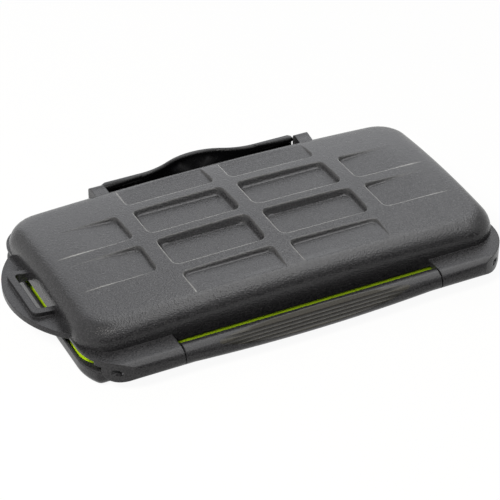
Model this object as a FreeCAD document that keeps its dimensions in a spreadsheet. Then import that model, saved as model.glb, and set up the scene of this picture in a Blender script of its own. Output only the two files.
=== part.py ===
# Memory card case: a hinged two-part shell with a crowned, panelled lid, a seal band in the seam,
# a flap latch at the back and soft card trays inside.
# Millimetres, +Z up. The origin is the middle of the flat underside, +X runs along the case,
# the strap loop is at -X, the hinge at -Y and the latch at +Y.
import FreeCAD, Part
import math
import os
import Sketcher

SIZES = [
    # shells
    ("case_length", 138.6, "over the rims of both shells"),
    ("case_width", 73.0, "over the rims, without hinge and latch"),
    ("case_height", 20.0, "underside to the top of the crown"),
    ("corner_radius", 11.0, "plan corners of the rims"),
    ("edge_round", 0.4, "broken edges of the mouldings"),
    ("base_rim", 5.6, "height of the base's outer lip"),
    ("lip_thickness", 0.8, "lip outside the channel"),
    ("channel_floor", 3.6, "floor of the channel that the seal band stands in"),
    ("base_wall", 4.1, "base lip, channel, seal band and spigot together"),
    ("base_floor", 1.8, "thickness of the base's floor"),
    ("bottom_round", 3.2, "round between floor and wall"),
    ("spigot_top", 7.6, "top of the wall inside the seal band"),
    ("lid_seam", 8.9, "underside of the lid's rim"),
    ("rim_thickness", 0.9, "thickness of the lid's rim"),
    ("rim_step", 1.3, "dome behind the rim's line in front"),
    ("back_step", 2.0, "dome before the rim's back edge"),
    ("end_step", 0.1, "how far the rim stands out from the dome's ends"),
    ("tongue_drop", 1.7, "tongue below the rim, over the seal band"),
    ("tongue_play", 0.3, "tongue to the spigot"),
    ("lid_wall", 3.2, "lid wall at the rim"),
    ("crown_wall", 4.8, "top of the crown above the inner ceiling"),
    ("cavity_draft", 20.0, "slope of the wall inside the lid, degrees"),
    ("lid_draft", 6.0, "draft of the dome's sides, degrees"),
    ("crown_along", 1160.0, "radius of the crown along the case"),
    ("crown_across", 300.0, "radius of the crown across the case"),
    ("shoulder_share", 0.925, "round between crown and sides, as a share of the sides at the corners"),
    # panels in the lid
    ("panel_length", 30.8, "along the case"),
    ("panel_width", 14.2, "across the case"),
    ("panel_depth", 1.6, "below the top of the crown"),
    ("panel_draft", 30.0, "slope of the panel sides, degrees"),
    ("panel_corner", 2.0, "plan corners of the panels"),
    ("middle_rib", 4.5, "rib between the two middle columns"),
    ("middle_rail", 3.6, "rail between the two middle rows"),
    ("outer_rib", 4.3, "rib before the end columns"),
    ("outer_rail", 3.3, "rail before the outer rows"),
    # hinge
    ("hinge_offset", 4.4, "hinge axis in front of the rim"),
    ("barrel_radius", 3.15, "knuckle and lugs"),
    ("knuckle_length", 84.0, "middle knuckle of the base"),
    ("hinge_gap", 0.45, "round the lugs"),
    ("lug_corner", 16.5, "plan corners round the lugs"),
    ("base_corner", 2.5, "base's corners beside the lugs"),
    ("neck_drop", 1.2, "how far the lug's neck hangs below the rim"),
    ("pin_radius", 1.0, "hinge pins"),
    ("pin_grip", 12.0, "length of pin held in the knuckle"),
    ("pin_inset", 1.5, "pin end below the lug's end"),
    ("running_fit", 0.05, "radial play of a turning hole"),
    ("grip_length", 80.0, "swelling in front of the knuckle"),
    ("grip_radius", 3.6, "swelling at its middle"),
    ("grip_shift", 0.6, "swelling's axis away from the hinge axis"),
    ("grip_slope", 52.0, "direction of that shift below the horizontal, degrees"),
    ("flat_slope", 47.7, "slope of the bow-shaped flat on the swelling, degrees"),
    ("flat_height", 2.05, "middle of the flat above the swelling's axis"),
    ("flat_length", 64.0, "flat from tip to tip"),
    ("flat_rise", 1.2, "tips of the flat above its middle"),
    ("groove_depth", 0.16, "fine grooves along the flat"),
    ("groove_width", 0.75, "fine grooves along the flat"),
    ("groove_pitch", 1.03, "fine grooves down the flat"),
    ("groove_shift", 0.45, "middle of the grooves below the middle of the flat"),
    ("groove_count", 4, "fine grooves down the flat"),
    # seal band
    ("seal_setback", 1.6, "band behind the face of the base"),
    ("seal_thickness", 1.3, "band, in plan"),
    ("seal_play", 0.15, "band to spigot and lid"),
    # strap loop
    ("loop_reach", 9.8, "loop beyond the rim"),
    ("loop_span", 46.0, "loop along the rim"),
    ("loop_thickness", 1.8, "loop plate"),
    ("slot_length", 19.0, "strap slot across the case"),
    ("slot_width", 4.3, "strap slot along the case"),
    ("slot_corner", 1.2, "corners of the slot"),
    ("frame_width", 2.1, "raised frame round the slot"),
    ("frame_rise", 3.3, "frame above the rim's underside"),
    # latch
    ("latch_length", 66.4, "flap along the case"),
    ("latch_thickness", 1.5, "flap wall"),
    ("latch_drop", 3.4, "flap's edge below the top of the crown"),
    ("latch_gap", 0.6, "flap behind the rims"),
    ("latch_axis_height", 3.2, "pivot above the underside"),
    ("latch_barrel_radius", 2.1, "flap's barrel"),
    ("latch_barrel_play", 0.5, "barrel to the base's wall"),
    ("latch_pin_radius", 0.8, "latch pin"),
    ("latch_side_play", 0.3, "flap to the ears, each end"),
    ("flap_edge", 0.5, "broken outer edge of the flap's top"),
    ("ear_width", 4.6, "guard ears and pivot ears"),
    ("ear_radius", 2.3, "pivot ears"),
    ("ear_drop", 2.6, "guard ears below the top of the crown"),
    ("ear_round", 1.6, "outer corner of the guard ears"),
    ("ear_reach", 0.5, "guard ears beyond the rim"),
    ("bow_span", 40.0, "finger lip along the flap"),
    ("bow_reach", 4.6, "finger lip beyond the flap"),
    ("bow_start", 7.4, "height where the lip starts to lean out"),
    ("bow_edge", 2.0, "upright edge above the leaning lip"),
    ("ledge_drop", 5.8, "catch ledge below the top of the crown"),
    ("nose_play", 0.4, "bead above the catch ledge"),
    ("nose_clear", 0.2, "bead outside the catch ledge"),
    ("ledge_setback", 0.9, "catch ledge behind the rim's face"),
    # card trays
    ("tray_play", 0.3, "tray to the shell's wall"),
    ("base_tray_top", 8.3, "top of the lower tray"),
    ("lid_tray_bottom", 9.6, "face of the upper tray"),
    ("sd_long", 32.6, "pocket for an SD card"),
    ("sd_wide", 24.6, "pocket for an SD card"),
    ("sd_depth", 4.4, "pocket for two SD cards"),
    ("sd_columns", 3, "pairs of pockets along the case"),
    ("sd_pitch_along", 42.0, "pockets along the case"),
    ("sd_pitch_across", 30.6, "pockets across the case"),
    ("micro_long", 15.4, "pocket for a microSD card"),
    ("micro_wide", 11.4, "pocket for a microSD card"),
    ("micro_depth", 1.4, "pocket for a microSD card"),
    ("micro_columns", 4, "pairs of pockets along the case"),
    ("micro_pitch_along", 29.0, "pockets along the case"),
    ("micro_pitch_across", 25.0, "pockets across the case"),
    ("pocket_corner", 1.2, "corners of the pockets"),
    ("finger_radius", 7.0, "finger dips between two pockets"),
    ("finger_depth", 2.6, "finger dips of the lower tray"),
]

doc = FreeCAD.newDocument("MemoryCardCase")
sheet = doc.addObject("Spreadsheet::Sheet", "Sizes")
for row, (alias, size, note) in enumerate(SIZES, start=1):
    sheet.set(f"A{row}", alias)
    sheet.set(f"B{row}", str(size))
    sheet.setAlias(f"B{row}", alias)
    sheet.set(f"C{row}", note)
doc.recompute()


class Dim:
    # A size as a number together with the sheet expression that gives it.
    def __init__(self, value, text):
        self.value = value
        self.text = text

    def __add__(self, other):
        return Dim(self.value + number(other), f"({self.text} + {wording(other)})")

    def __radd__(self, other):
        return Dim(number(other) + self.value, f"({wording(other)} + {self.text})")

    def __sub__(self, other):
        return Dim(self.value - number(other), f"({self.text} - {wording(other)})")

    def __rsub__(self, other):
        return Dim(number(other) - self.value, f"({wording(other)} - {self.text})")

    def __mul__(self, other):
        return Dim(self.value * number(other), f"({self.text} * {wording(other)})")

    def __rmul__(self, other):
        return Dim(number(other) * self.value, f"({wording(other)} * {self.text})")

    def __truediv__(self, other):
        return Dim(self.value / number(other), f"({self.text} / {wording(other)})")

    def __neg__(self):
        return Dim(-self.value, f"(0 - {self.text})")


def number(size):
    return size.value if isinstance(size, Dim) else float(size)


def wording(size):
    return size.text if isinstance(size, Dim) else str(size)


def root(size):
    return Dim(math.sqrt(size.value), f"sqrt({size.text})")


def tangent(size):
    return Dim(math.tan(math.radians(size.value)), f"tan({size.text} * 1 deg)")


def sine(size):
    return Dim(math.sin(math.radians(size.value)), f"sin({size.text} * 1 deg)")


def cosine(size):
    return Dim(math.cos(math.radians(size.value)), f"cos({size.text} * 1 deg)")


def size_of(alias):
    return Dim(float(sheet.get(alias)), f"Sizes.{alias}")


def arc_radius(half_chord, rise):
    return (half_chord * half_chord + rise * rise) / (2 * rise)


# Sizes that several pieces share.
case_height = size_of("case_height")
half_length = size_of("case_length") / 2
half_width = size_of("case_width") / 2
corner_radius = size_of("corner_radius")
edge_round = size_of("edge_round")
base_rim = size_of("base_rim")
lid_seam = size_of("lid_seam")
rim_top = lid_seam + size_of("rim_thickness")
barrel_radius = size_of("barrel_radius")
hinge_y = -(half_width + size_of("hinge_offset"))
hinge_z = rim_top - barrel_radius
hinge_front = hinge_y - barrel_radius
knuckle_half = size_of("knuckle_length") / 2
hinge_gap = size_of("hinge_gap")
lug_start = knuckle_half + hinge_gap
lug_corner = size_of("lug_corner")
lug_corner_y = hinge_front + lug_corner
lug_end = half_length - lug_corner + root(
    lug_corner * lug_corner - (lug_corner - barrel_radius) * (lug_corner - barrel_radius)
)
front_wall = hinge_y + barrel_radius + hinge_gap
front_x = half_length - lug_corner + root(
    lug_corner * lug_corner - (lug_corner_y - front_wall) * (lug_corner_y - front_wall)
)
dome_half_length = half_length - size_of("end_step")
dome_front = -(half_width - size_of("rim_step"))
dome_back = half_width - size_of("back_step")
pin_radius = size_of("pin_radius")
running_fit = size_of("running_fit")
latch_half = size_of("latch_length") / 2
latch_inner = half_width + size_of("latch_gap")
latch_outer = latch_inner + size_of("latch_thickness")
latch_radius = size_of("latch_barrel_radius")
latch_y = half_width + size_of("latch_barrel_play") + latch_radius
latch_z = size_of("latch_axis_height")
latch_top = case_height - size_of("latch_drop")
latch_pin_radius = size_of("latch_pin_radius")
ear_start = latch_half + size_of("latch_side_play")
ear_end = ear_start + size_of("ear_width")
ledge_top = case_height - size_of("ledge_drop")
ledge_y = half_width - size_of("ledge_setback")
seal_outset = size_of("seal_setback") + size_of("seal_thickness")
base_wall = size_of("base_wall")
lid_wall = size_of("lid_wall")
lid_ceiling = case_height - size_of("crown_wall")
tray_play = size_of("tray_play")


def new_body(label):
    body = doc.addObject("PartDesign::Body", label)
    body.Label = label
    return body


def new_sketch(body, name, role, offset=0):
    sketch = body.newObject("Sketcher::SketchObject", name)
    plane = next(item for item in body.Origin.OriginFeatures if item.Role == role)
    sketch.AttachmentSupport = [(plane, "")]
    sketch.MapMode = "FlatFace"
    sketch.AttachmentOffset = FreeCAD.Placement(FreeCAD.Vector(0, 0, number(offset)), FreeCAD.Rotation())
    if isinstance(offset, Dim):
        sketch.setExpression("AttachmentOffset.Base.z", offset.text)
    return sketch


def dimension(size, kind, *where):
    return Sketcher.Constraint(kind, *where, number(size)), size


def point_at(geometry, end, x, y):
    # What holds a point at (x, y) of its sketch.
    rules = []
    for kind, axis, size in (("DistanceX", -2, x), ("DistanceY", -1, y)):
        if number(size) == 0:
            rules.append((Sketcher.Constraint("PointOnObject", geometry, end, axis), None))
        elif number(size) > 0:
            rules.append(dimension(size, kind, -1, 1, geometry, end))
        else:
            rules.append(dimension(-size, kind, geometry, end, -1, 1))
    return rules


def add_rules(sketch, rules):
    # Adds the constraints together and ties each dimension to its size.
    places = sketch.addConstraint([rule for rule, size in rules])
    for place, (rule, size) in zip(places, rules):
        if isinstance(size, Dim):
            sketch.setExpression(f"Constraints[{place}]", size.text)


def arc_between(start, end, radius, left):
    chord = end - start
    height = math.sqrt(max(radius ** 2 - chord.Length ** 2 / 4, 0))
    side = FreeCAD.Vector(-chord.y, chord.x, 0).normalize() * (height if left else -height)
    centre = (start + end) / 2 + side
    first, last = (start, end) if left else (end, start)
    angles = [math.atan2(spot.y - centre.y, spot.x - centre.x) for spot in (first, last)]
    return Part.ArcOfCircle(Part.Circle(centre, FreeCAD.Vector(0, 0, 1), radius), *angles)


def outline(sketch, points, left=None, right=None):
    # A closed loop through the points. left and right give the radius of an edge that is an arc,
    # by the number of its first point and the way it turns.
    left = left or {}
    right = right or {}
    base = sketch.GeometryCount
    count = len(points)
    spots = [FreeCAD.Vector(number(x), number(y), 0) for x, y in points]
    ends = [(2, 1) if i in right else (1, 2) for i in range(count)]
    edges = []
    for i, spot in enumerate(spots):
        after = spots[(i + 1) % count]
        if i in left or i in right:
            radius = left[i] if i in left else right[i]
            edges.append(arc_between(spot, after, number(radius), i in left))
        else:
            edges.append(Part.LineSegment(spot, after))
    sketch.addGeometry(edges, False)
    rules = []
    for i, (x, y) in enumerate(points):
        j = (i + 1) % count
        rules.append((Sketcher.Constraint("Coincident", base + i, ends[i][1], base + j, ends[j][0]), None))
        rules += point_at(base + i, ends[i][0], x, y)
    for i, radius in {**left, **right}.items():
        rules.append(dimension(radius, "Radius", base + i))
    add_rules(sketch, rules)


def rounded_box(sketch, x_low, x_high, y_low, y_high, radius):
    points = [
        (x_low + radius, y_low), (x_high - radius, y_low),
        (x_high, y_low + radius), (x_high, y_high - radius),
        (x_high - radius, y_high), (x_low + radius, y_high),
        (x_low, y_high - radius), (x_low, y_low + radius),
    ]
    outline(sketch, points, left={i: radius for i in (1, 3, 5, 7)})


def rim_shape(sketch, inset=0):
    # The rounded plan of the shells, drawn in by an inset.
    rounded_box(
        sketch, -(half_length - inset), half_length - inset,
        -(half_width - inset), half_width - inset, corner_radius - inset,
    )


def circle(sketch, x, y, radius):
    place = sketch.addGeometry(
        Part.Circle(FreeCAD.Vector(number(x), number(y), 0), FreeCAD.Vector(0, 0, 1), number(radius)), False
    )
    add_rules(sketch, point_at(place, 3, x, y) + [dimension(radius, "Radius", place)])


def pad(body, sketch, length, reverse=False, both=False, taper=None):
    feature = body.newObject("PartDesign::Pad", sketch.Name + "Pad")
    feature.Profile = sketch
    feature.setExpression("Length", wording(length))
    feature.Reversed = reverse
    feature.SideType = "Symmetric" if both else "One side"
    if taper:
        feature.setExpression("TaperAngle", taper.text)
    doc.recompute()
    return feature


def pocket(body, sketch, length=None, reverse=False, both=False, taper=None):
    # A cut down from its sketch, or up where reversed; without a length it goes right through.
    before = body.Shape.Volume
    feature = body.newObject("PartDesign::Pocket", sketch.Name + "Pocket")
    feature.Profile = sketch
    if length is None:
        feature.Type = "ThroughAll"
    else:
        feature.setExpression("Length", wording(length))
    feature.Reversed = reverse
    feature.SideType = "Symmetric" if both else "One side"
    if taper:
        feature.setExpression("TaperAngle", taper.text)
    doc.recompute()
    if body.Shape.Volume > before - 0.01:
        raise RuntimeError(f"{feature.Name} cuts nothing")
    return feature


def dress_edges(body, kind, size_name, name, size, chosen):
    base = body.Tip
    names = [f"Edge{i}" for i, edge in enumerate(base.Shape.Edges, start=1) if chosen(edge)]
    if not names:
        raise RuntimeError(f"{name} finds no edges")
    feature = body.newObject(kind, name)
    feature.Base = (base, names)
    feature.setExpression(size_name, size.text)
    doc.recompute()
    return feature


def round_edges(body, name, radius, chosen):
    # Rounds each edge of the body that the chosen test picks.
    return dress_edges(body, "PartDesign::Fillet", "Radius", name, radius, chosen)


def break_edges(body, name, size, chosen):
    # Chamfers each edge of the body that the chosen test picks.
    return dress_edges(body, "PartDesign::Chamfer", "Size", name, size, chosen)


def long_axis(body):
    return next(item for item in body.Origin.OriginFeatures if item.Role == "X_Axis"), [""]


def repeat(body, feature, direction, length, count):
    # Copies of a feature, evenly spaced over a length.
    pattern = body.newObject("PartDesign::LinearPattern", feature.Name + "Row")
    pattern.Originals = [feature]
    pattern.Direction = direction
    pattern.setExpression("Length", length.text)
    pattern.setExpression("Occurrences", wording(count))
    body.Tip = pattern
    doc.recompute()
    return pattern


def lies_at(edge, z, slack=0.01):
    box = edge.BoundBox
    return abs(box.ZMin - number(z)) < slack and abs(box.ZMax - number(z)) < slack


def lid_shell():
    body = new_body("lid_shell")

    # Drafted dome under a crown that curves both ways.
    dome = new_sketch(body, "Dome", "XY_Plane", lid_seam)
    rounded_box(dome, -dome_half_length, dome_half_length, dome_front, dome_back,
                corner_radius - size_of("end_step"))
    pad(body, dome, case_height - lid_seam, taper=-size_of("lid_draft"))
    across = size_of("crown_across")
    along = size_of("crown_along")
    reach = half_width + size_of("hinge_offset")
    edge_z = case_height - across + root(across * across - reach * reach)
    crown = new_sketch(body, "Crown", "YZ_Plane")
    outline(
        crown,
        [(reach, edge_z), (reach, case_height * 1.5), (-reach, case_height * 1.5), (-reach, edge_z)],
        right={3: across},
    )
    axis = crown.addGeometry(
        Part.LineSegment(
            FreeCAD.Vector(-number(reach), number(case_height - along), 0),
            FreeCAD.Vector(number(reach), number(case_height - along), 0),
        ),
        True,
    )
    add_rules(crown, point_at(axis, 1, -reach, case_height - along) + point_at(axis, 2, reach, case_height - along))
    before = body.Shape.Volume
    groove = body.newObject("PartDesign::Groove", "CrownGroove")
    groove.Profile = crown
    groove.ReferenceAxis = (crown, ["Axis0"])
    groove.setExpression("Angle", f"4 * asin({half_length.text} / {along.text})")
    groove.Midplane = True
    doc.recompute()
    if body.Shape.Volume > before - 0.01:
        raise RuntimeError("the crown cuts nothing")
    top = max(body.Tip.Shape.Faces, key=lambda face: face.CenterOfMass.z)
    corner_drop = half_length * half_length / (2 * along) + half_width * half_width / (2 * across)
    corner_side = case_height - lid_seam - corner_drop
    round_edges(body, "Shoulder", corner_side * size_of("shoulder_share"),
                lambda edge: any(edge.isSame(other) for other in top.Edges))

    # Rim round the sides, widened at the front corners to carry the two lugs.
    rim = new_sketch(body, "Rim", "XY_Plane", lid_seam)
    rim_front = dome_front + edge_round
    outline(
        rim,
        [
            (-lug_start, rim_front), (lug_start, rim_front),
            (lug_start, hinge_y), (lug_end, hinge_y),
            (half_length, lug_corner_y), (half_length, half_width - corner_radius),
            (half_length - corner_radius, half_width), (-(half_length - corner_radius), half_width),
            (-half_length, half_width - corner_radius), (-half_length, lug_corner_y),
            (-lug_end, hinge_y), (-lug_start, hinge_y),
        ],
        left={3: lug_corner, 5: corner_radius, 7: corner_radius, 9: lug_corner},
    )
    pad(body, rim, size_of("rim_thickness"))

    # Tongue under the rim, which shuts down on the seal band.
    tongue = new_sketch(body, "Tongue", "XY_Plane", lid_seam)
    rim_shape(tongue, size_of("rim_step"))
    rim_shape(tongue, seal_outset - size_of("tongue_play"))
    pad(body, tongue, size_of("tongue_drop"), reverse=True)

    # Lugs: round barrels that hang from the rim by a neck.
    neck_y = -(half_width - size_of("seal_setback") / 2)
    neck_z = lid_seam - size_of("neck_drop")
    for side, name in ((1, "LugRight"), (-1, "LugLeft")):
        lug = new_sketch(body, name, "YZ_Plane", lug_start * side)
        outline(
            lug,
            [
                (hinge_y, rim_top), (hinge_y - barrel_radius, hinge_z),
                (hinge_y, hinge_z - barrel_radius), (hinge_y + barrel_radius, hinge_z),
                (hinge_y + barrel_radius, neck_z), (neck_y, neck_z), (neck_y, rim_top),
            ],
            left={0: barrel_radius, 1: barrel_radius, 2: barrel_radius},
        )
        pad(body, lug, half_length - lug_start, reverse=side < 0)
    corner = new_sketch(body, "LugCorners", "XY_Plane")
    inner = half_length - lug_corner
    far_x = half_length + lug_corner
    far_y = hinge_front - lug_corner
    outline(
        corner,
        [(inner, hinge_front), (inner, far_y), (far_x, far_y), (far_x, lug_corner_y), (half_length, lug_corner_y)],
        right={4: lug_corner},
    )
    outline(
        corner,
        [(-half_length, lug_corner_y), (-far_x, lug_corner_y), (-far_x, far_y), (-inner, far_y), (-inner, hinge_front)],
        right={4: lug_corner},
    )
    pocket(body, corner, both=True)
    bore = new_sketch(body, "LugBores", "YZ_Plane")
    circle(bore, hinge_y, hinge_z, pin_radius + running_fit)
    pocket(body, bore, both=True)

    # Half-moon strap loop, a raised frame and the slot through it.
    loop = new_sketch(body, "Loop", "XY_Plane", lid_seam)
    loop_half = size_of("loop_span") / 2
    root_x = -dome_half_length
    outline(
        loop,
        [(root_x, loop_half), (root_x, -loop_half)],
        left={0: arc_radius(loop_half, size_of("loop_reach") + size_of("end_step"))},
    )
    pad(body, loop, size_of("loop_thickness"))
    frame_width = size_of("frame_width")
    slot_half = size_of("slot_length") / 2
    slot_far = dome_half_length + size_of("slot_width")
    frame = new_sketch(body, "SlotFrame", "XY_Plane", lid_seam)
    rounded_box(
        frame, -(slot_far + frame_width), -(dome_half_length - frame_width),
        -(slot_half + frame_width), slot_half + frame_width, frame_width,
    )
    pad(body, frame, size_of("frame_rise"))
    slot = new_sketch(body, "Slot", "XY_Plane", lid_seam)
    slot_corner = size_of("slot_corner")
    outline(
        slot,
        [
            (-dome_half_length, slot_half), (-(slot_far - slot_corner), slot_half),
            (-slot_far, slot_half - slot_corner), (-slot_far, -(slot_half - slot_corner)),
            (-(slot_far - slot_corner), -slot_half), (-dome_half_length, -slot_half),
        ],
        left={1: slot_corner, 3: slot_corner},
    )
    pocket(body, slot, reverse=True)

    # Catch ledge for the latch, between two guard ears.
    ledge = new_sketch(body, "Ledge", "XY_Plane", lid_seam)
    behind = half_width - lid_wall * 2
    outline(ledge, [(-ear_end, behind), (ear_end, behind), (ear_end, ledge_y), (-ear_end, ledge_y)])
    pad(body, ledge, ledge_top - lid_seam)
    ear_y = half_width + size_of("ear_reach")
    ear_top = case_height - size_of("ear_drop")
    ear_round = size_of("ear_round")
    for side, name in ((1, "EarRight"), (-1, "EarLeft")):
        ear = new_sketch(body, name, "YZ_Plane", ear_start * side)
        outline(
            ear,
            [(behind, lid_seam), (ear_y, lid_seam), (ear_y, ear_top - ear_round), (ear_y - ear_round, ear_top),
             (behind, ear_top)],
            left={2: ear_round},
        )
        pad(body, ear, size_of("ear_width"), reverse=side < 0)

    # Hollow inside.
    cavity = new_sketch(body, "LidCavity", "XY_Plane", lid_seam)
    rim_shape(cavity, lid_wall)
    pocket(body, cavity, lid_ceiling - lid_seam, reverse=True, taper=-size_of("cavity_draft"))

    # Twelve flat-floored panels. The crown falls away below the floors of the outer ones, so they run out.
    depth = size_of("panel_depth")
    inset = depth * tangent(size_of("panel_draft"))
    first_x = size_of("middle_rib") / 2
    first_y = size_of("middle_rail") / 2
    second_x = first_x + size_of("panel_length") + size_of("outer_rib")
    second_y = first_y + size_of("panel_width") + size_of("outer_rail")
    columns = [(first_x, first_x + size_of("panel_length")), (second_x, second_x + size_of("panel_length"))]
    rows = [(first_y, first_y + size_of("panel_width")), (second_y, second_y + size_of("panel_width"))]
    for turn_x, turn_y in ((1, 1), (-1, 1), (-1, -1), (1, -1)):
        panels = new_sketch(body, "Panels", "XY_Plane", case_height - depth)
        for column, row in ((0, 0), (0, 1), (1, 0)):
            xs = sorted((end * turn_x for end in columns[column]), key=number)
            ys = sorted((end * turn_y for end in rows[row]), key=number)
            rounded_box(panels, xs[0] + inset, xs[1] - inset, ys[0] + inset, ys[1] - inset,
                        size_of("panel_corner") - inset / 2)
        pocket(body, panels, depth * 2, reverse=True, taper=size_of("panel_draft"))
    return body


def grip_sketch(body, name, down=0):
    # A sketch along the axis of the knuckle's swelling that stands square to the flat on it, moved down the flat.
    shift = size_of("grip_shift")
    slope = size_of("grip_slope")
    lean = size_of("flat_slope")
    up = hinge_z - shift * sine(slope) - sine(lean) * down
    forward = shift * cosine(slope) - hinge_y + cosine(lean) * down
    sketch = new_sketch(body, name, "XZ_Plane")
    sketch.AttachmentOffset = FreeCAD.Placement(
        FreeCAD.Vector(0, number(up), number(forward)), FreeCAD.Rotation(FreeCAD.Vector(1, 0, 0), number(lean))
    )
    sketch.setExpression("AttachmentOffset.Base.y", up.text)
    sketch.setExpression("AttachmentOffset.Base.z", forward.text)
    sketch.setExpression("AttachmentOffset.Rotation.Angle", lean.text)
    return sketch


def grip_bow(sketch, depth=0):
    # All that lies above the flat's bow, or above one that is deeper in the middle and has the same tips.
    half = size_of("flat_length") / 2
    rise = size_of("flat_rise")
    tip = size_of("flat_height") + rise
    far = barrel_radius * 2
    outline(
        sketch,
        [(-half, tip), (half, tip), (half, far), (-half, far)],
        left={0: arc_radius(half, rise + depth)},
    )


def base_shell():
    body = new_body("base_shell")

    # Outer tray with a rounded foot, and the spigot that carries the seal band.
    tray = new_sketch(body, "Tray", "XY_Plane")
    outline(
        tray,
        [
            (-front_x, front_wall), (front_x, front_wall),
            (half_length, lug_corner_y), (half_length, half_width - corner_radius),
            (half_length - corner_radius, half_width), (-(half_length - corner_radius), half_width),
            (-half_length, half_width - corner_radius), (-half_length, lug_corner_y),
        ],
        left={1: lug_corner, 3: corner_radius, 5: corner_radius, 7: lug_corner},
    )
    pad(body, tray, base_rim)
    round_edges(body, "FrontCorners", size_of("base_corner"),
                lambda edge: abs(edge.CenterOfMass.y - number(front_wall)) < 0.01 and edge.BoundBox.XLength < 0.01)
    round_edges(body, "FootRound", size_of("bottom_round"), lambda edge: lies_at(edge, 0))
    break_edges(body, "LipEdge", edge_round, lambda edge: lies_at(edge, base_rim))
    spigot = new_sketch(body, "Spigot", "XY_Plane", size_of("base_floor"))
    rim_shape(spigot, seal_outset)
    pad(body, spigot, size_of("spigot_top") - size_of("base_floor"))

    # Middle knuckle of the hinge, joined to the front wall.
    knuckle = new_sketch(body, "Knuckle", "YZ_Plane")
    web_top = base_rim - edge_round * 2
    web_y = hinge_y + root(barrel_radius * barrel_radius - (hinge_z - web_top) * (hinge_z - web_top))
    inside = -(half_width - base_wall / 2)
    outline(
        knuckle,
        [
            (inside, hinge_z - barrel_radius), (inside, web_top), (web_y, web_top),
            (hinge_y, hinge_z + barrel_radius), (hinge_y - barrel_radius, hinge_z),
            (hinge_y, hinge_z - barrel_radius),
        ],
        left={2: barrel_radius, 3: barrel_radius, 4: barrel_radius},
    )
    pad(body, knuckle, knuckle_half * 2, both=True)

    # Spindle-shaped swelling in front of the knuckle.
    grip_half = size_of("grip_length") / 2
    grip_radius = size_of("grip_radius")
    grip_end = barrel_radius - size_of("grip_shift") * 1.1
    swelling = grip_sketch(body, "Grip")
    outline(
        swelling,
        [(-grip_half, 0), (grip_half, 0), (grip_half, grip_end), (-grip_half, grip_end)],
        left={2: arc_radius(grip_half, grip_radius - grip_end)},
    )
    spindle = body.newObject("PartDesign::Revolution", "GripSpindle")
    spindle.Profile = swelling
    spindle.ReferenceAxis = (swelling, ["H_Axis"])
    spindle.Angle = 360
    doc.recompute()

    # Lens-shaped flat over its front, with fine grooves that leave ribs between them.
    flat = grip_sketch(body, "GripFlat")
    grip_bow(flat)
    pocket(body, flat, both=True)
    groove_length = size_of("groove_pitch") * (size_of("groove_count") - 1)
    groove = grip_sketch(body, "GripGroove", size_of("groove_shift") - groove_length / 2)
    grip_bow(groove, size_of("groove_depth"))
    first = pocket(body, groove, size_of("groove_width"), both=True)
    repeat(body, first, (groove, ["N_Axis"]), groove_length, size_of("groove_count"))

    # Blind holes that grip the hinge pins.
    for side, name in ((1, "PinHoleRight"), (-1, "PinHoleLeft")):
        hole = new_sketch(body, name, "YZ_Plane", knuckle_half * side)
        circle(hole, hinge_y, hinge_z, pin_radius)
        pocket(body, hole, size_of("pin_grip"), reverse=side < 0)

    # Ears at the back that hold the latch pin.
    ear_radius = size_of("ear_radius")
    wall_y = half_width - base_wall / 2
    for side, name in ((1, "PivotEarRight"), (-1, "PivotEarLeft")):
        ear = new_sketch(body, name, "YZ_Plane", ear_start * side)
        outline(
            ear,
            [(wall_y, latch_z - ear_radius), (latch_y, latch_z - ear_radius), (latch_y + ear_radius, latch_z),
             (latch_y, latch_z + ear_radius), (wall_y, latch_z + ear_radius)],
            left={1: ear_radius, 2: ear_radius},
        )
        pad(body, ear, size_of("ear_width"), reverse=side < 0)
    pivot = new_sketch(body, "PivotHoles", "YZ_Plane")
    circle(pivot, latch_y, latch_z, latch_pin_radius)
    pocket(body, pivot, both=True)

    # Channel behind the lip for the seal band, and the hollow inside.
    channel = new_sketch(body, "Channel", "XY_Plane", base_rim)
    rim_shape(channel, size_of("lip_thickness"))
    rim_shape(channel, seal_outset)
    pocket(body, channel, base_rim - size_of("channel_floor"))
    cavity = new_sketch(body, "BaseCavity", "XY_Plane", size_of("spigot_top"))
    rim_shape(cavity, base_wall)
    pocket(body, cavity, size_of("spigot_top") - size_of("base_floor"))
    return body


def seal_band():
    body = new_body("seal_band")
    band = new_sketch(body, "Band", "XY_Plane", size_of("channel_floor"))
    rim_shape(band, size_of("seal_setback"))
    rim_shape(band, seal_outset - size_of("seal_play"))
    pad(body, band, lid_seam - size_of("tongue_drop") - size_of("seal_play") - size_of("channel_floor"))
    return body


def hinge_pin(label, side):
    body = new_body(label)
    section = new_sketch(body, label + "_section", "YZ_Plane", (knuckle_half - size_of("pin_grip")) * side)
    circle(section, hinge_y, hinge_z, pin_radius)
    length = lug_end - size_of("pin_inset") - knuckle_half + size_of("pin_grip")
    pad(body, section, length, reverse=side < 0)
    return body


def flap_plan(sketch, lean):
    # Plan of the flap with its middle bowed out by the lean: three arcs on each face, tangent to one another.
    span = size_of("bow_span") / 2
    quarter = span / 2
    radius = arc_radius(quarter, lean / 2)
    inner = [
        (-span, latch_inner), (-quarter, latch_inner + lean / 2),
        (quarter, latch_inner + lean / 2), (span, latch_inner),
    ]
    outer = [
        (span, latch_outer), (quarter, latch_outer + lean / 2),
        (-quarter, latch_outer + lean / 2), (-span, latch_outer),
    ]
    points = [(-latch_half, latch_inner), *inner, (latch_half, latch_inner),
              (latch_half, latch_outer), *outer, (-latch_half, latch_outer)]
    outline(
        sketch, points,
        left={1: radius, 3: radius, 8: radius},
        right={2: radius, 7: radius, 9: radius},
    )


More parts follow.
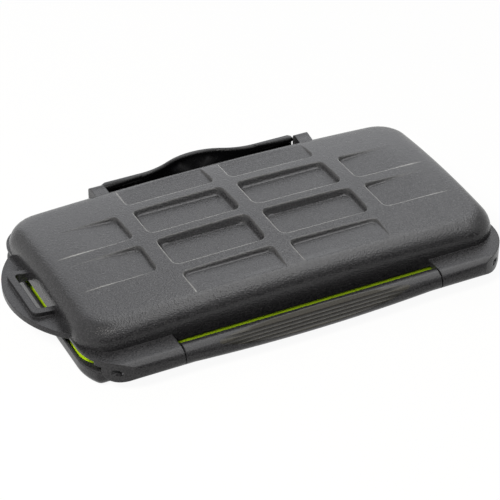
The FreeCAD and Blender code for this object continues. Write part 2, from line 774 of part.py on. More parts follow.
def latch():
    body = new_body("latch")
    bow_start = size_of("bow_start")
    bow_full = latch_top - size_of("bow_edge")
    bow_reach = size_of("bow_reach")

    # Barrel and straight lower flap.
    barrel = new_sketch(body, "LatchBarrel", "YZ_Plane")
    circle(barrel, latch_y, latch_z, latch_radius)
    pad(body, barrel, latch_half * 2, both=True)
    lower = new_sketch(body, "LowerFlap", "XY_Plane", latch_z)
    flap_plan(lower, bow_reach / 20)
    pad(body, lower, bow_start - latch_z)

    # Middle of the flap leaning out into the finger lip.
    foot = new_sketch(body, "LipFoot", "XY_Plane", bow_start)
    flap_plan(foot, bow_reach / 20)
    full = new_sketch(body, "LipFull", "XY_Plane", bow_full)
    flap_plan(full, bow_reach)
    lip = body.newObject("PartDesign::AdditiveLoft", "Lip")
    lip.Profile = foot
    lip.Sections = [full]
    lip.Ruled = True
    doc.recompute()
    edge = new_sketch(body, "LipEdge", "XY_Plane", bow_full)
    flap_plan(edge, bow_reach)
    pad(body, edge, latch_top - bow_full)

    # Rounded bead that shuts over the catch ledge, each side of the lip.
    nose_low = ledge_top + size_of("nose_play")
    nose_radius = (latch_top - nose_low) / 2
    nose_y = ledge_y + size_of("nose_clear")
    for side, name in ((1, "BeadRight"), (-1, "BeadLeft")):
        bead = new_sketch(body, name, "YZ_Plane", size_of("bow_span") / 2 * side)
        outline(
            bead,
            [(latch_outer, latch_top), (nose_y + nose_radius, latch_top), (nose_y, latch_top - nose_radius),
             (nose_y + nose_radius, nose_low), (latch_outer, nose_low)],
            left={1: nose_radius, 2: nose_radius},
        )
        pad(body, bead, latch_half - size_of("bow_span") / 2, reverse=side < 0)
    break_edges(body, "FlapEdge", size_of("flap_edge"),
                lambda edge: lies_at(edge, latch_top) and edge.CenterOfMass.y > number(latch_outer) - 0.01)
    bore = new_sketch(body, "LatchBore", "YZ_Plane")
    circle(bore, latch_y, latch_z, latch_pin_radius + running_fit)
    pocket(body, bore, both=True)
    return body


def latch_pin():
    body = new_body("latch_pin")
    section = new_sketch(body, "LatchPinSection", "YZ_Plane")
    circle(section, latch_y, latch_z, latch_pin_radius)
    pad(body, section, (ear_end - edge_round) * 2, both=True)
    return body


def card_pockets(body, name, face_z, columns, pitch_along, pitch_across, long_side, wide_side, depth, up):
    # Two rows of card pockets: the first column, then its copies along the case.
    sketch = new_sketch(body, name, "XY_Plane", face_z)
    x = -(pitch_along * (columns - 1) / 2)
    for side in (-1, 1):
        y = pitch_across / 2 * side
        rounded_box(sketch, x - long_side / 2, x + long_side / 2, y - wide_side / 2, y + wide_side / 2,
                    size_of("pocket_corner"))
    first = pocket(body, sketch, depth, reverse=up)
    repeat(body, first, long_axis(body), pitch_along * (columns - 1), columns)


def base_card_tray():
    body = new_body("base_card_tray")
    top = size_of("base_tray_top")
    columns = size_of("sd_columns")
    pitch = size_of("sd_pitch_along")
    block = new_sketch(body, "BaseTrayBlock", "XY_Plane", size_of("base_floor"))
    rim_shape(block, base_wall + tray_play)
    pad(body, block, top - size_of("base_floor"))
    card_pockets(body, "SdPockets", top, columns, pitch, size_of("sd_pitch_across"),
                 size_of("sd_long"), size_of("sd_wide"), size_of("sd_depth"), False)

    # A round dip between the two pockets of each column lets a finger under the cards.
    dip = new_sketch(body, "FingerDip", "XY_Plane", top)
    circle(dip, -(pitch * (columns - 1) / 2), 0, size_of("finger_radius"))
    first = pocket(body, dip, size_of("finger_depth"))
    repeat(body, first, long_axis(body), pitch * (columns - 1), columns)
    return body


def lid_card_tray():
    body = new_body("lid_card_tray")
    face = size_of("lid_tray_bottom")
    block = new_sketch(body, "LidTrayBlock", "XY_Plane", face)
    draft = size_of("cavity_draft")
    rim_shape(block, lid_wall + tray_play + (face - lid_seam) * tangent(draft))
    pad(body, block, lid_ceiling - face, taper=-draft)
    card_pockets(body, "MicroPockets", face, size_of("micro_columns"), size_of("micro_pitch_along"),
                 size_of("micro_pitch_across"), size_of("micro_wide"), size_of("micro_long"),
                 size_of("micro_depth"), True)
    return body


pieces = [
    lid_shell(),
    base_shell(),
    seal_band(),
    hinge_pin("hinge_pin_right", 1),
    hinge_pin("hinge_pin_left", -1),
    latch(),
    latch_pin(),
    base_card_tray(),
    lid_card_tray(),
]
doc.recompute()

for item in doc.Objects:
    if "Invalid" in item.State or "Error" in item.State:
        raise RuntimeError(f"{item.Name} failed: {item.State}")
for piece in pieces:
    shape = piece.Shape
    if shape.isNull() or not shape.isValid() or len(shape.Solids) != 1:
        raise RuntimeError(f"{piece.Label} is not one valid solid")
    box = shape.BoundBox
    print(f"{piece.Label}: {shape.Volume:.1f} mm3, x {box.XMin:.2f} {box.XMax:.2f}, "
          f"y {box.YMin:.2f} {box.YMax:.2f}, z {box.ZMin:.2f} {box.ZMax:.2f}")

os.makedirs("parts", exist_ok=True)
for piece in pieces:
    piece.Shape.exportStep(f"parts/{piece.Label}.step")
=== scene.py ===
# Memory card case: grained black shells, lime seal band in the seam, black flap latch, rubber card trays.
import math

import bpy
import numpy as np
from mathutils import Matrix, Vector


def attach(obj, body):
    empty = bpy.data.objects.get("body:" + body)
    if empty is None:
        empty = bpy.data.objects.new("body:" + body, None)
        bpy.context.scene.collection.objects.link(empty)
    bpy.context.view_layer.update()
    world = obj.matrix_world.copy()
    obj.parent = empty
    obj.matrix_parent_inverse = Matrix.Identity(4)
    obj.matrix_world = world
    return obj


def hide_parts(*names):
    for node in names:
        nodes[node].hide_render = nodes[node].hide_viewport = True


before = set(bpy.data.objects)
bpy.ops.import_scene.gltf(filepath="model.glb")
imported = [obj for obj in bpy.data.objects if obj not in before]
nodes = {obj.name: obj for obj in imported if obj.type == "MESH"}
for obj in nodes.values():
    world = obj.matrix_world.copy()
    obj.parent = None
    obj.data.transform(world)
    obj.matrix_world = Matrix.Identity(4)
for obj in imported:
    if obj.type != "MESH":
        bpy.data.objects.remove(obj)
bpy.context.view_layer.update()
mm = 0.001
slack = 0.05  # millimetres by which a point may miss a place that it is looked for at
print("frame loaded:", sorted(nodes))


class Wire:
    # a shader output that can be used in sums
    def __init__(self, finish, socket):
        self.finish = finish
        self.socket = socket

    def maths(self, operation, first, second=None):
        given = {0: first} if second is None else {0: first, 1: second}
        return self.finish.add("ShaderNodeMath", {"operation": operation}, given)

    def __add__(self, other):
        return self.maths("ADD", self, other)

    def __radd__(self, other):
        return self.maths("ADD", other, self)

    def __sub__(self, other):
        return self.maths("SUBTRACT", self, other)

    def __rsub__(self, other):
        return self.maths("SUBTRACT", other, self)

    def __mul__(self, other):
        return self.maths("MULTIPLY", self, other)

    def __rmul__(self, other):
        return self.maths("MULTIPLY", other, self)

    def __or__(self, other):
        return self.maths("MAXIMUM", self, other)

    def __ror__(self, other):
        return self.maths("MAXIMUM", other, self)


class Board:
    # the nodes of one material or of the room
    def __init__(self, tree):
        self.tree = tree

    def find(self, kind):
        return next(node for node in self.tree.nodes if node.type == kind)

    def add(self, kind, settings=None, inputs=None, out=0):
        node = self.tree.nodes.new(kind)
        for key, value in (settings or {}).items():
            if key == "stops":
                self.setStops(node.color_ramp, value)
            else:
                setattr(node, key, value)
        for key, value in (inputs or {}).items():
            self.feed(node.inputs[key], value)
        return Wire(self, node.outputs[out])

    def setStops(self, ramp, stops):
        while len(ramp.elements) < len(stops):
            ramp.elements.new(0.5)
        for element, (place, colour) in zip(ramp.elements, stops):
            element.position = place
            element.color = colour

    def feed(self, socket, value):
        if isinstance(value, Wire):
            self.tree.links.new(value.socket, socket)
        else:
            socket.default_value = value

    def backgroundSeen(self):
        # 1 where the camera, a gloss or a clear piece looks at the background
        seen = [self.add("ShaderNodeLightPath", out=ray)
                for ray in ("Is Camera Ray", "Is Glossy Ray", "Is Transmission Ray")]
        return seen[0] | seen[1] | seen[2]


class Finish(Board):
    # one material
    def __init__(self, name, **look):
        self.material = bpy.data.materials.new(name)
        self.material.use_nodes = True
        super().__init__(self.material.node_tree)
        self.shader = self.find("BSDF_PRINCIPLED")
        for socketName, value in look.items():
            self.shader.inputs[socketName.replace("_", " ")].default_value = value

    def place(self):
        return self.add("ShaderNodeTexCoord", out="Object")

    def noise(self, scale, detail=2.0, rough=0.5, at=None):
        given = {"Vector": at or self.place(), "Scale": scale, "Detail": detail, "Roughness": rough}
        return self.add("ShaderNodeTexNoise", inputs=given)

    def ramp(self, value, stops):
        return self.add("ShaderNodeValToRGB", {"stops": stops}, {"Fac": value})

    def mask(self, value, ends):
        # 0 below the first end, 1 above the second
        return self.ramp(value, [(ends[0], grey(0)), (ends[1], grey(1))])

    def mix(self, factor, first, second):
        return self.add("ShaderNodeMix", {"data_type": "RGBA"}, {0: factor, 6: first, 7: second}, out=2)

    def bump(self, height, strength, distance, edge=None):
        given = {"Height": height, "Strength": strength, "Distance": distance}
        if edge:
            given["Normal"] = self.add("ShaderNodeBevel", {"samples": 6}, {"Radius": edge})  # softens edges
        return self.add("ShaderNodeBump", inputs=given)

    def show(self, socketName, value):
        self.feed(self.shader.inputs[socketName], value)


def grey(level):
    return (level, level, level, 1)


# moulded plastic with the fine sparkle of a spark-eroded tool
shellLook = {
    "colour": (0.016, 0.016, 0.018, 1),
    # the last colour on the next line, a light grey, is a painted highlight laid along the crown's panel rims
    "pale": (0.037, 0.0365, 0.040, 1), "dark": (0.010, 0.010, 0.0115, 1), "scuffAndRimHighlight": (0.36, 0.36, 0.355, 1),
    # the darker groove colour on the next line is painted shade in the thumb flat's grooves
    "gripTone": (0.030, 0.028, 0.023, 1), "paintedGrooveShade": (0.010, 0.0095, 0.008, 1),
    "grainPerMetre": 2400, "pitsPerMetre": 1900, "cloudsPerMetre": 28, "speckle": (0.42, 0.70),
    "cloudShare": 0.6, "leastCloud": 0.2, "highlightGrain": 0.5, "leastHighlight": 0.35,
    "roughness": 0.18, "grainRoughness": 0.16, "cloudGloss": 0.06, "highlightGloss": 0.08, "shine": 0.35,
    "grainHeight": 0.75, "pitHeight": 0.35, "gripSmoothing": 0.9,
    "bumpStrength": 1.0, "bumpDepth": 0.12 * mm, "edge": 0,
}
bodyLook = {**shellLook, "roughness": 0.24, "shine": 0.26, "bumpDepth": 0.06 * mm, "edge": 0.4 * mm}


def grainedPlastic(name, look):
    finish = Finish(name, Specular_IOR_Level=look["shine"])
    grain = finish.noise(look["grainPerMetre"], detail=0.5)
    pits = finish.add("ShaderNodeTexVoronoi", {"feature": "F1"},
                      {"Vector": finish.place(), "Scale": look["pitsPerMetre"]})
    clouds = finish.noise(look["cloudsPerMetre"], detail=4.0)
    speckle = finish.mask(grain, look["speckle"])
    tone = finish.mix(speckle, look["dark"], look["pale"])
    rim, grip, groove = (finish.add("ShaderNodeAttribute", {"attribute_name": name}, out="Fac")
                         for name in ("rim", "grip", "groove"))  # marked on the crown and on the thumb flat
    # the thumb flat's grooves painted darker than its lands, as painted shade
    thumb = finish.mix(groove, look["gripTone"], look["paintedGrooveShade"])
    cloudy = clouds * look["cloudShare"] + look["leastCloud"]
    body = finish.mix(grip, finish.mix(cloudy, tone, look["colour"]), thumb)
    # pale painted highlight along the panel rims, broken up by the grain
    rimHighlight = rim * (grain * look["highlightGrain"] + look["leastHighlight"])
    finish.show("Base Color", finish.mix(rimHighlight, body, look["scuffAndRimHighlight"]))
    gloss = clouds * look["cloudGloss"] + rim * look["highlightGloss"]
    finish.show("Roughness", look["roughness"] + grain * look["grainRoughness"] - gloss)
    height = (grain * look["grainHeight"] + pits * look["pitHeight"]) * (1 - grip * look["gripSmoothing"])
    finish.show("Normal", finish.bump(height, look["bumpStrength"], look["bumpDepth"], look["edge"]))
    return finish.material


# lime rubber of the seal band
sealLook = {
    "colour": (0.50, 0.76, 0.014, 1), "shade": (0.45, 0.70, 0.012, 1),
    "dustPerMetre": 900, "cloudsPerMetre": 60, "roughness": 0.46, "dustRoughness": 0.12,
    "bumpStrength": 0.2, "bumpDepth": 0.04 * mm,
}


def limeRubber(name, look):
    finish = Finish(name)
    dust = finish.noise(look["dustPerMetre"], detail=4.0, rough=0.6)
    clouds = finish.noise(look["cloudsPerMetre"])
    finish.show("Base Color", finish.mix(clouds, look["shade"], look["colour"]))
    finish.show("Roughness", look["roughness"] + dust * look["dustRoughness"])
    finish.show("Normal", finish.bump(dust, look["bumpStrength"], look["bumpDepth"]))
    return finish.material


# smooth black plastic of the flap latch
latchLook = {
    "colour": (0.0015, 0.0015, 0.0018, 1), "scuff": (0.005, 0.005, 0.0055, 1),
    "wavePerMetre": 240, "scuffPerMetre": 1400, "scuffed": (0.56, 0.80), "roughness": 0.22,
    "scuffRoughness": 0.2, "waveRoughness": 0.05, "shine": 0.3, "waveHeight": 0.6, "scuffHeight": 0.4,
    "bumpStrength": 0.18, "bumpDepth": 0.03 * mm, "edge": 0.9 * mm,
}


def smoothPlastic(name, look):
    finish = Finish(name, Specular_IOR_Level=look["shine"])
    wave = finish.noise(look["wavePerMetre"])
    scuffs = finish.noise(look["scuffPerMetre"], detail=5.0, rough=0.7)
    scuffAndRimHighlight = finish.mask(scuffs, look["scuffed"])
    finish.show("Base Color", finish.mix(scuffAndRimHighlight, look["colour"], look["scuff"]))
    finish.show("Roughness", look["roughness"] + scuffAndRimHighlight * look["scuffRoughness"] + wave * look["waveRoughness"])
    height = wave * look["waveHeight"] + scuffs * look["scuffHeight"]
    finish.show("Normal", finish.bump(height, look["bumpStrength"], look["bumpDepth"], look["edge"]))
    return finish.material


# moulded rubber of the card trays
trayLook = {
    "colour": (0.026, 0.026, 0.028, 1), "bloom": (0.044, 0.044, 0.046, 1),
    "grainPerMetre": 1700, "bloomPerMetre": 45, "bloomed": (0.4, 0.75), "roughness": 0.72,
    "grainRoughness": 0.14, "bumpStrength": 0.3, "bumpDepth": 0.08 * mm, "edge": 0.25 * mm,
}


def trayRubber(name, look):
    finish = Finish(name)
    grain = finish.noise(look["grainPerMetre"], detail=3.0, rough=0.6)
    bloom = finish.noise(look["bloomPerMetre"], detail=4.0, rough=0.6)
    finish.show("Base Color", finish.mix(finish.mask(bloom, look["bloomed"]), look["colour"], look["bloom"]))
    finish.show("Roughness", look["roughness"] + grain * look["grainRoughness"])
    finish.show("Normal", finish.bump(grain, look["bumpStrength"], look["bumpDepth"], look["edge"]))
    return finish.material


# ground steel of the pins, with the grinding lines round the pin
steelLook = {
    "colour": (0.52, 0.52, 0.53, 1), "line": (0.40, 0.40, 0.41, 1), "linesPerMetre": 9000,
    "stretch": (1, 0.02, 0.02), "roughness": 0.24, "lineRoughness": 0.16,
}


def groundSteel(name, look):
    finish = Finish(name, Metallic=1.0)
    along = finish.add("ShaderNodeMapping", inputs={"Vector": finish.place(), "Scale": look["stretch"]})
    lines = finish.noise(look["linesPerMetre"], at=along)
    finish.show("Base Color", finish.mix(lines, look["line"], look["colour"]))
    finish.show("Roughness", look["roughness"] + lines * look["lineRoughness"])
    return finish.material


shellPlastic = grainedPlastic("shellPlastic", shellLook)
bodyPlastic = grainedPlastic("bodyPlastic", bodyLook)
sealRubber = limeRubber("sealRubber", sealLook)
latchPlastic = smoothPlastic("latchPlastic", latchLook)
cardRubber = trayRubber("cardRubber", trayLook)
pinSteel = groundSteel("pinSteel", steelLook)
print("finishes made:", len(bpy.data.materials))


def deselect():
    bpy.ops.object.select_all(action="DESELECT")


def pick(piece):
    deselect()
    piece.select_set(True)
    bpy.context.view_layer.objects.active = piece


def dress(piece, material):
    piece.data.materials.clear()
    piece.data.materials.append(material)


# how a node's mesh is joined up and smoothed
copySizes = {"weld": 0.002, "sharpDegrees": 35}


def mouldedCopy(node, name, material):
    # the node's own shape as one joined skin, smooth over its curves
    piece = bpy.data.objects.new(name, nodes[node].data.copy())
    piece.data.name = name
    bpy.context.scene.collection.objects.link(piece)
    pick(piece)
    bpy.ops.mesh.customdata_custom_splitnormals_clear()
    bpy.ops.object.mode_set(mode="EDIT")
    bpy.ops.mesh.select_all(action="SELECT")
    bpy.ops.mesh.remove_doubles(threshold=copySizes["weld"] * mm)
    bpy.ops.object.mode_set(mode="OBJECT")
    bpy.ops.object.shade_smooth_by_angle(angle=math.radians(copySizes["sharpDegrees"]))
    dress(piece, material)
    return piece


def spotsOf(mesh):
    spots = np.zeros(len(mesh.vertices) * 3)
    mesh.vertices.foreach_get("co", spots)
    return spots.reshape(-1, 3)


def standFor(piece, node, body):
    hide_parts(node)
    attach(piece, body)


# crown of the lid: sizes in millimetres, as in the solid but with deeper, tilted panel floors
crownSizes = {
    "top": 19.96, "alongRadius": 1160.0, "acrossRadius": 300.0,
    "halfLength": 69.2, "front": -35.2, "back": 34.5, "footCorner": 10.9, "footHeight": 8.93,
    "draftDegrees": 6.0, "shoulderInset": 6.1, "band": 12.0, "arcShare": 0.72, "proud": 0.03, "skin": 0.4,
    "panelDraftDegrees": 30.0, "panelCorner": 2.0,
    "panelColumns": [(2.25, 33.05), (37.35, 68.15)], "panelRows": [(1.6, 16.3), (19.1, 33.5)],
    "panelPlaces": [  # column, row, depth, and how the floor climbs outwards along x and along y
        {"column": 0, "row": 0, "depth": 2.25, "climb": (0, -0.012)},
        {"column": 0, "row": 1, "depth": 2.05, "climb": (0, 0.02)},
        {"column": 1, "row": 0, "depth": 1.98, "climb": (0.042, -0.024)},
    ],
    "rimRound": 0.42, "floorRound": 0.08,
    # size and spread of the painted highlight along the panel rims
    "highlightReach": 0.75, "highlightPeak": 1.6, "highlightStart": 0.2, "highlightTurn": 4, "leastHighlight": 0.08,
    "edgeLines": [-0.95, -0.65, -0.42, -0.24, -0.1, 0.02, 0.14, 0.27, 0.42, 0.58, 0.74, 0.9,
                  1.08, 1.3, 1.6, 2.0, 2.5],
    "narrowestLine": 0.08, "widestLine": 1.9, "fallStep": 0.05, "weld": 0.003, "sharpDegrees": 50,
    "bandLines": [0.07, 0.14, 0.21, 0.28, 0.35, 0.42, 0.49, 0.56, 0.64, 0.72, 0.81, 0.9, 1.0],
}


def crownHeight(x, y, s):
    ridge = s["top"] - s["acrossRadius"] + np.sqrt(s["acrossRadius"] ** 2 - y ** 2)
    axis = s["top"] - s["alongRadius"]
    return axis + np.sqrt((ridge - axis) ** 2 - x ** 2)


def roundedBoxDistance(x, y, xLow, xHigh, yLow, yHigh, corner):
    dx = np.abs(x - (xLow + xHigh) / 2) - (xHigh - xLow) / 2 + corner
    dy = np.abs(y - (yLow + yHigh) / 2) - (yHigh - yLow) / 2 + corner
    outside = np.hypot(np.maximum(dx, 0), np.maximum(dy, 0))
    return outside + np.minimum(np.maximum(dx, dy), 0) - corner


def softMin(a, b, k):
    h = np.maximum(k - np.abs(a - b), 0) / k
    return np.minimum(a, b) - h * h * k / 4


def panelledHeight(x, y, s):
    crown = crownHeight(x, y, s)
    slope = math.tan(math.radians(s["panelDraftDegrees"]))
    height = crown.copy()
    rim = np.zeros_like(crown)
    for turnX in (1, -1):
        for turnY in (1, -1):
            for panel in s["panelPlaces"]:
                foot = s["top"] - panel["depth"]
                inset = panel["depth"] * slope
                x0, x1 = s["panelColumns"][panel["column"]]
                y0, y1 = s["panelRows"][panel["row"]]
                gap = roundedBoxDistance(x * turnX, y * turnY, x0 + inset, x1 - inset, y0 + inset, y1 - inset,
                                         s["panelCorner"] - inset / 2)
                wall = foot + gap / slope
                climbX, climbY = panel["climb"]
                floor = foot + climbX * (x * turnX - x0) + climbY * (y * turnY - y0)
                side = -softMin(-wall, -floor, s["floorRound"])
                # painted highlight along the rim, most on the panel's left and front sides
                near = np.clip(s["highlightPeak"] - s["highlightPeak"] * np.abs(height - side) / s["highlightReach"], 0, 1)
                offX = (x - turnX * (x0 + x1) / 2) / (x1 - x0)
                offY = (y - turnY * (y0 + y1) / 2) / (y1 - y0)
                highlightSide = np.clip(np.clip(-offX - offY, 0, 1) * s["highlightTurn"], s["leastHighlight"], 1)
                rim = np.maximum(rim, near * np.clip(gap / s["highlightStart"], 0, 1) * highlightSide)
                height = softMin(height, side, s["rimRound"])
    return height, rim


def gridLines(low, high, edges, s):
    # lines crowd at the panel edges, spread between them and close up again on the shoulder
    lines = {round(low, 4), round(high, 4)}
    for edge, inward in edges:
        steps = [edge + inward * step for step in s["edgeLines"]]
        lines.update(round(step, 4) for step in steps if low < step < high)
    kept = []
    for line in sorted(lines):
        if kept and line - kept[-1] < s["narrowestLine"]:
            continue
        if kept and line - kept[-1] > s["widestLine"]:
            count = math.ceil((line - kept[-1]) / s["widestLine"])
            kept += list(np.linspace(kept[-1], line, count + 1)[1:-1])
        kept.append(line)
    outer = [step * s["band"] for step in s["bandLines"]]
    return np.array([low - step for step in reversed(outer)] + kept + [high + step for step in outer])


def panelEdges(spans):
    # both edges of the inner panels and the inner edge of the outer ones, with the way into the panel
    inner, outer = spans
    return [(turn * place, turn * way) for turn in (1, -1)
            for place, way in ((inner[0], 1), (inner[1], -1), (outer[0], 1))]


def lidCrown(s):
    inset = s["shoulderInset"]
    xHigh = s["halfLength"] - inset
    yLow = s["front"] + inset
    yHigh = s["back"] - inset
    corner = s["footCorner"] - inset
    xLines = gridLines(-xHigh, xHigh, panelEdges(s["panelColumns"]), s)
    yLines = gridLines(yLow, yHigh, panelEdges(s["panelRows"]), s)
    deselect()
    bpy.ops.mesh.primitive_grid_add(x_subdivisions=len(xLines) - 1, y_subdivisions=len(yLines) - 1, size=2)
    piece = bpy.context.active_object
    piece.name = piece.data.name = "lidCrown"
    mesh = piece.data
    spots = spotsOf(mesh)
    x = xLines[np.rint((spots[:, 0] + 1) / 2 * (len(xLines) - 1)).astype(int)]
    y = yLines[np.rint((spots[:, 1] + 1) / 2 * (len(yLines) - 1)).astype(int)]
    out = roundedBoxDistance(x, y, -xHigh, xHigh, yLow, yHigh, corner)

    # nearest point of the line where the shoulder starts, and the way out from it
    coreX = np.clip(x, -xHigh + corner, xHigh - corner)
    coreY = np.clip(y, yLow + corner, yHigh - corner)
    awayX, awayY = x - coreX, y - coreY
    reach = np.maximum(np.hypot(awayX, awayY), 1e-9)
    wayX, wayY = awayX / reach, awayY / reach
    startX, startY = coreX + wayX * corner, coreY + wayY * corner

    # the shoulder: an arc from the crown's slope down to the drafted wall
    draft = math.radians(s["draftDegrees"])
    startZ = crownHeight(startX, startY, s)
    step = s["fallStep"]
    fall = (startZ - crownHeight(startX + wayX * step, startY + wayY * step, s)) / step
    lean = np.arctan(fall)
    rise = inset * math.cos(draft) - (startZ - s["footHeight"]) * math.sin(draft)
    radius = rise / (1 - np.sin(lean) * math.cos(draft) - np.cos(lean) * math.sin(draft))
    share = np.clip(out / s["band"], 0, 1)
    turn = lean + (math.pi / 2 - draft - lean) * np.clip(share / s["arcShare"], 0, 1)
    outward = radius * (np.sin(turn) - np.sin(lean))
    height = startZ - radius * (np.cos(lean) - np.cos(turn))
    down = np.clip((share - s["arcShare"]) / (1 - s["arcShare"]), 0, 1)
    drop = (height - s["footHeight"]) * down
    outward = outward + drop * math.tan(draft)
    height = height - drop

    onTop = out <= 0
    proud = s["proud"]
    spots[:, 0] = np.where(onTop, x, startX + wayX * (outward + proud)) * mm
    spots[:, 1] = np.where(onTop, y, startY + wayY * (outward + proud)) * mm
    panelled, rim = panelledHeight(x, y, s)
    spots[:, 2] = (np.where(onTop, panelled, height) + proud * (1 - down)) * mm
    mesh.vertices.foreach_set("co", spots.ravel())
    # the rim attribute carries the painted highlight along the panel rims
    mesh.attributes.new("rim", "FLOAT", "POINT").data.foreach_set("value", np.where(onTop, rim, 0))
    mesh.update()

    # the grid's corners lie outside the rounded foot
    pick(piece)
    bpy.ops.object.mode_set(mode="EDIT")
    bpy.ops.mesh.select_mode(type="FACE")
    bpy.ops.mesh.select_all(action="DESELECT")
    bpy.ops.object.mode_set(mode="OBJECT")
    beyond = out >= s["band"] - 1e-6
    for face in mesh.polygons:
        face.select = all(beyond[corner] for corner in face.vertices)
    bpy.ops.object.mode_set(mode="EDIT")
    bpy.ops.mesh.delete(type="FACE")
    bpy.ops.mesh.select_all(action="SELECT")
    bpy.ops.mesh.remove_doubles(threshold=s["weld"] * mm)
    bpy.ops.object.mode_set(mode="OBJECT")
    wall = piece.modifiers.new("wall", "SOLIDIFY")
    wall.thickness = s["skin"] * mm
    wall.offset = -1
    bpy.ops.object.modifier_apply(modifier=wall.name)
    bpy.ops.object.shade_smooth_by_angle(angle=math.radians(s["sharpDegrees"]))
    dress(piece, shellPlastic)
    return piece


# the dome of the lid's body goes down under the crown's skin, further below the panels
sinkSizes = {"domeFoot": 10.2, "inward": 0.6, "drop": 0.6, "panelDrop": 0.7,
             "ceiling": 15.2, "ceilingHalf": (64.6, 31.6)}


def sinkDome(piece, s, sink):
    mesh = piece.data
    spots = spotsOf(mesh) / mm
    x, y, z = spots.T
    wide, deep = sink["ceilingHalf"]
    ceiling = (np.abs(z - sink["ceiling"]) < slack) & (np.abs(x) < wide) & (np.abs(y) < deep)
    dome = (z > sink["domeFoot"]) & (np.abs(x) < s["halfLength"] + slack) & ~ceiling
    dome &= (y > s["front"] - slack) & (y < s["back"] + slack)
    inset = s["shoulderInset"]
    top = dome & (np.abs(x) < s["halfLength"] - inset) & (y > s["front"] + inset) & (y < s["back"] - inset)
    spots[dome, 0] *= 1 - sink["inward"] / s["halfLength"]
    spots[dome, 1] *= 1 - sink["inward"] / s["back"]
    spots[dome, 2] -= sink["drop"]
    spots[top, 2] -= sink["panelDrop"]
    mesh.vertices.foreach_set("co", (spots * mm).ravel())
    mesh.update()


lidBody = mouldedCopy("lid_shell", "lidBody", bodyPlastic)
sinkDome(lidBody, crownSizes, sinkSizes)
standFor(lidBody, "lid_shell", "lid")
crown = lidCrown(crownSizes)
standFor(crown, "lid_shell", "lid")
print("lid made:", len(crown.data.polygons), "faces on the crown")

# the thumb flat on the base's middle knuckle is smooth, its grooves painted darker than the lands between
# them as painted shade
gripLook = {
    "slopeDegrees": 47.7, "nearness": 0.97, "halfLength": 32.0, "front": -40.0,
    "tipLevel": 37.95, "rise": 1.2, "grooveDepth": 0.16, "leastBow": 0.12,
}


def markGrip(piece, look):
    slope = math.radians(look["slopeDegrees"])
    facing = Vector((0, -math.sin(slope), math.cos(slope)))
    mesh = piece.data
    spots = spotsOf(mesh) / mm
    bow = np.maximum(1 - (spots[:, 0] / look["halfLength"]) ** 2, look["leastBow"])
    sunk = (look["tipLevel"] - spots @ np.array(facing)) / bow  # the same all along a groove
    smooth = np.zeros(len(mesh.polygons))
    groove = np.zeros(len(mesh.polygons))
    for face in mesh.polygons:
        place = face.center / mm
        onFlat = place.y < look["front"] and abs(place.x) < look["halfLength"]
        if onFlat and face.normal.dot(facing) > look["nearness"]:
            smooth[face.index] = 1
            groove[face.index] = sunk[list(face.vertices)].mean() > look["rise"] + look["grooveDepth"] / 2
    mesh.attributes.new("grip", "FLOAT", "FACE").data.foreach_set("value", smooth)
    mesh.attributes.new("groove", "FLOAT", "FACE").data.foreach_set("value", groove)
    print("thumb flat:", int(smooth.sum()), "faces,", int(groove.sum()), "in its grooves")


baseBody = mouldedCopy("base_shell", "baseBody", bodyPlastic)
markGrip(baseBody, gripLook)
standFor(baseBody, "base_shell", "base")

# the latch's arms end in blunt tips, and their bead runs out into the bow
flapSizes = {
    "armEnd": 33.2, "tip": 1.1, "tipShare": (0.72, 0.66), "armMiddle": (37.2, 15.5), "armFoot": 14.4,
    "beadEnd": 20.0, "runOut": 2.8, "plateFront": 37.05, "seat": 37.2, "sharpDegrees": 40,
}


def grabPoints(piece, chosen):
    # edit mode with only the chosen points selected
    bpy.ops.object.mode_set(mode="OBJECT")
    pick(piece)
    bpy.ops.object.mode_set(mode="EDIT")
    bpy.ops.mesh.select_mode(type="VERT")
    bpy.ops.mesh.select_all(action="DESELECT")
    bpy.ops.object.mode_set(mode="OBJECT")
    for point in piece.data.vertices:
        point.select = chosen(point.co / mm)
    bpy.ops.object.mode_set(mode="EDIT")


def shapeFlap(piece, s):
    middleY, middleZ = s["armMiddle"]
    shareY, shareZ = s["tipShare"]
    for turn in (1, -1):
        pick(piece)
        bpy.ops.object.mode_set(mode="EDIT")
        bpy.ops.mesh.select_all(action="SELECT")
        bpy.ops.mesh.bisect(plane_co=(turn * (s["armEnd"] - s["tip"]) * mm, 0, 0), plane_no=(1, 0, 0))
        grabPoints(piece, lambda spot: spot.x * turn > s["armEnd"] - slack and spot.z > s["armFoot"])
        bpy.ops.transform.resize(value=(1, shareY, shareZ), center_override=(0, middleY * mm, middleZ * mm))
        grabPoints(piece, lambda spot: abs(spot.x * turn - s["beadEnd"]) < slack and spot.y < s["plateFront"])
        bpy.ops.transform.resize(value=(1, 0, 1), center_override=(0, s["seat"] * mm, middleZ * mm))
        bpy.ops.transform.translate(value=(-turn * s["runOut"] * mm, 0, 0))
        bpy.ops.object.mode_set(mode="OBJECT")
    bpy.ops.object.shade_smooth_by_angle(angle=math.radians(s["sharpDegrees"]))


flap = mouldedCopy("latch", "latchFlap", latchPlastic)
shapeFlap(flap, flapSizes)
standFor(flap, "latch", "latch")
band = mouldedCopy("seal_band", "sealBand", sealRubber)
standFor(band, "seal_band", "base")
lowerTray = mouldedCopy("base_card_tray", "lowerCardTray", cardRubber)
standFor(lowerTray, "base_card_tray", "base")
upperTray = mouldedCopy("lid_card_tray", "upperCardTray", cardRubber)
standFor(upperTray, "lid_card_tray", "lid")
for pinName in ("hinge_pin_left", "hinge_pin_right", "latch_pin"):
    dress(nodes[pinName], pinSteel)
print("base, latch, band, trays and pins dressed")

# pale floor that the camera sees as white
floorLook = {"size": 6.0, "colour": grey(0.75), "roughness": 0.9, "whiteShare": 0.94}


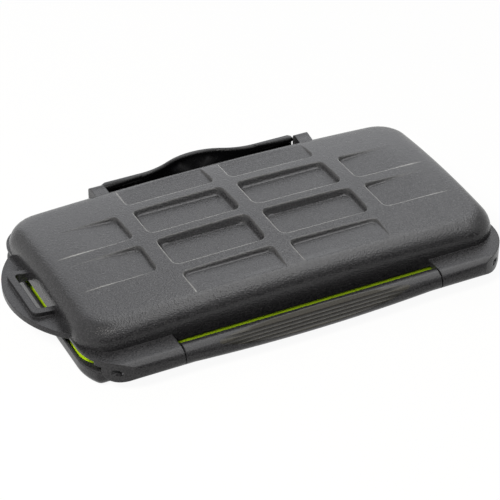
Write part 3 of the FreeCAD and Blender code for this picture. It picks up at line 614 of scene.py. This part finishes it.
def whiteFloor(look):
    deselect()
    bpy.ops.mesh.primitive_plane_add(size=look["size"])
    floor = bpy.context.active_object
    floor.name = "floor"
    finish = Finish("paleFloor", Roughness=look["roughness"])
    finish.show("Base Color", look["colour"])
    white = finish.add("ShaderNodeEmission", inputs={"Color": grey(1), "Strength": 1.0})
    plain = Wire(finish, finish.shader.outputs[0])
    share = finish.backgroundSeen() * look["whiteShare"]
    mixed = finish.add("ShaderNodeMixShader", inputs={0: share, 1: plain, 2: white})
    finish.feed(finish.find("OUTPUT_MATERIAL").inputs["Surface"], mixed)
    floor.data.materials.append(finish.material)


whiteFloor(floorLook)

# dark card behind the camera, low down, so that walls facing the camera stay dark
cardLook = {"place": (0, -1.4, 0.28), "size": (3.6, 0.56), "colour": grey(0.01)}


def darkCard(look):
    deselect()
    bpy.ops.mesh.primitive_plane_add(size=1, location=look["place"], rotation=(math.radians(90), 0, 0))
    card = bpy.context.active_object
    card.name = "darkCard"
    card.scale = (*look["size"], 1)
    card.visible_camera = False
    finish = Finish("darkFelt", Roughness=1.0, Specular_IOR_Level=0.0)
    finish.show("Base Color", look["colour"])
    card.data.materials.append(finish.material)


darkCard(cardLook)

# a broad soft box behind, a long one overhead that only gives sheen, a small front lamp,
# and a left lamp without gloss that lights the seal band, with faint room light
lampLook = {
    "back": {"place": (0.35, 0.96, 0.78), "aim": (0, 0, 0), "size": (1.5, 1.5),
             "power": 7.5, "colour": (0.93, 0.95, 1.0)},
    "overhead": {"place": (0.4, -0.13, 0.9), "aim": (0.4, -0.13, 0), "size": (0.6, 1.4),
                 "power": 9.4, "colour": (1.0, 1.0, 1.0), "diffuse": False},
    "front": {"place": (-0.3, -0.75, 1.2), "aim": (0, 0, 0), "size": (0.18, 0.18),
              "power": 2.1, "colour": (1.0, 0.97, 0.92)},
    "left": {"place": (-0.66, -0.3, 0.86), "aim": (-0.05, 0, 0), "size": (0.3, 0.3),
             "power": 17.0, "colour": (1.0, 0.97, 0.88), "glossy": False},
}
roomLevel = 0.05


def softLamp(name, look):
    data = bpy.data.lights.new(name, "AREA")
    data.shape = "RECTANGLE"
    data.size, data.size_y = look["size"]
    data.energy = look["power"]
    data.color = look["colour"]
    lamp = bpy.data.objects.new(name, data)
    bpy.context.scene.collection.objects.link(lamp)
    lamp.location = look["place"]
    lamp.visible_glossy = look.get("glossy", True)
    lamp.visible_diffuse = look.get("diffuse", True)
    way = Vector(look["aim"]) - Vector(look["place"])
    lamp.rotation_euler = way.to_track_quat("-Z", "Y").to_euler()


for lampName, look in lampLook.items():
    softLamp(lampName, look)

world = bpy.data.worlds.new("room")
bpy.context.scene.world = world
world.use_nodes = True
room = Board(world.node_tree)
backdrop = room.find("BACKGROUND")
room.feed(backdrop.inputs["Color"], grey(1))
room.feed(backdrop.inputs["Strength"], room.backgroundSeen() * (1 - roomLevel) + roomLevel)

# camera at the photograph's viewing angle
cameraLook = {"azimuth": -26.39, "elevation": 34.44, "distance": 0.6227, "aim": (0, 0, 0.02),
              "slideRight": -0.00023, "slideUp": -0.01267, "lens": 147.7, "sensor": 36, "nearest": 0.01}


def viewCamera(look):
    azimuth = math.radians(look["azimuth"])
    elevation = math.radians(look["elevation"])
    back = Vector((math.sin(azimuth) * math.cos(elevation), -math.cos(azimuth) * math.cos(elevation),
                   math.sin(elevation)))
    right = Vector((math.cos(azimuth), math.sin(azimuth), 0))
    up = back.cross(right)
    data = bpy.data.cameras.new("camera")
    data.lens = look["lens"]
    data.sensor_width = look["sensor"]
    data.clip_start = look["nearest"]
    camera = bpy.data.objects.new("camera", data)
    bpy.context.scene.collection.objects.link(camera)
    place = Vector(look["aim"]) + back * look["distance"] + right * look["slideRight"] + up * look["slideUp"]
    turn = Matrix((right, up, back)).transposed()
    camera.matrix_world = Matrix.Translation(place) @ turn.to_4x4()
    bpy.context.scene.camera = camera


viewCamera(cameraLook)
bpy.context.scene.view_settings.view_transform = "Standard"
print("floor, light and camera set")
